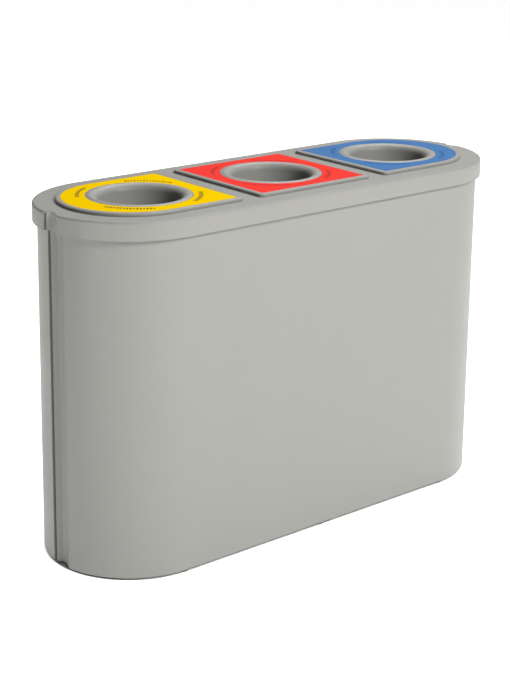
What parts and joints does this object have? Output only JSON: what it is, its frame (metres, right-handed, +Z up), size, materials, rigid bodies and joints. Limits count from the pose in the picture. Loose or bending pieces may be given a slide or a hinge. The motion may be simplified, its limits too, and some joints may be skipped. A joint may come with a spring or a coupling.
{
  "type": "recycling bin station",
  "caption": "Free-standing plastic recycling station with rounded ends, a lift-off lid, colour-coded lift-out aperture inserts and inner liners with carrying bails.",
  "frame": {"origin": "on the floor, under the middle of the cabinet", "axes": "+X along the cabinet's length from the yellow bay to the blue one, +Y to the back, +Z up"},
  "size_m": [1.1488, 0.4, 0.7646],
  "materials": {
    "cabinet_plastic": "satin, fine moulded grain",
    "tray_plastic": "matte",
    "liner_plastic": "matte",
    "grip_plastic": "matte",
    "foot_rubber": "matte",
    "zinc_steel": "zinc plated",
    "bail_wire": "zinc plated, drawn",
    "yellow_plate": "satin print",
    "red_plate": "satin print",
    "blue_plate": "satin print"
  },
  "bodies": {
    "carcass": {"front_shell": "cabinet_plastic", "rear_shell": "cabinet_plastic", "base_tray": "tray_plastic", "foot_pads": "foot_rubber", "base_screws": "zinc_steel", "seam_bolts": "zinc_steel", "seam_nuts": "zinc_steel", "left_divider": "tray_plastic", "right_divider": "tray_plastic"},
    "lid": {"lid": "cabinet_plastic"},
    "left_insert": {"left_insert": "cabinet_plastic", "left_label": "yellow_plate"},
    "left_liner": {"left_liner": "liner_plastic"},
    "left_bail": {"left_bail": "bail_wire", "left_grip": "grip_plastic"},
    "middle_insert": {"middle_insert": "cabinet_plastic", "middle_label": "red_plate"},
    "middle_liner": {"middle_liner": "liner_plastic"},
    "middle_bail": {"middle_bail": "bail_wire", "middle_grip": "grip_plastic"},
    "right_insert": {"right_insert": "cabinet_plastic", "right_label": "blue_plate"},
    "right_liner": {"right_liner": "liner_plastic"},
    "right_bail": {"right_bail": "bail_wire", "right_grip": "grip_plastic"}
  },
  "joints": [
    {"name": "lid_lift", "type": "slide", "parent": "carcass", "child": "lid", "axis": [0, 0, 1], "range_m": [0, 0.25]},
    {"name": "left_insert_lift", "type": "slide", "parent": "lid", "child": "left_insert", "axis": [0, 0, 1], "range_m": [0, 1]},
    {"name": "left_liner_lift", "type": "slide", "parent": "carcass", "child": "left_liner", "axis": [0, 0, 1], "range_m": [0, 0.72]},
    {"name": "left_bail_swing", "type": "hinge", "parent": "left_liner", "child": "left_bail", "pos_m": [-0.353, 0, 0.676], "axis": [0, -1, 0], "range_deg": [0, 152]},
    {"name": "middle_insert_lift", "type": "slide", "parent": "lid", "child": "middle_insert", "axis": [0, 0, 1], "range_m": [0, 1]},
    {"name": "middle_liner_lift", "type": "slide", "parent": "carcass", "child": "middle_liner", "axis": [0, 0, 1], "range_m": [0, 0.72]},
    {"name": "middle_bail_swing", "type": "hinge", "parent": "middle_liner", "child": "middle_bail", "pos_m": [0, 0, 0.676], "axis": [0, -1, 0], "range_deg": [0, 152]},
    {"name": "right_insert_lift", "type": "slide", "parent": "lid", "child": "right_insert", "axis": [0, 0, 1], "range_m": [0, 1]},
    {"name": "right_liner_lift", "type": "slide", "parent": "carcass", "child": "right_liner", "axis": [0, 0, 1], "range_m": [0, 0.72]},
    {"name": "right_bail_swing", "type": "hinge", "parent": "right_liner", "child": "right_bail", "pos_m": [0.353, 0, 0.676], "axis": [0, 1, 0], "range_deg": [0, 152]}
  ],
  "couplings": [
    {"joint": "left_liner_lift", "follows": "left_insert_lift", "ratio": 0.72},
    {"joint": "left_bail_swing", "follows": "left_insert_lift", "rad_per_m": 1.33},
    {"joint": "middle_liner_lift", "follows": "middle_insert_lift", "ratio": 0.72},
    {"joint": "middle_bail_swing", "follows": "middle_insert_lift", "rad_per_m": 1.33},
    {"joint": "right_liner_lift", "follows": "right_insert_lift", "ratio": 0.72},
    {"joint": "right_bail_swing", "follows": "right_insert_lift", "rad_per_m": 1.33}
  ]
}
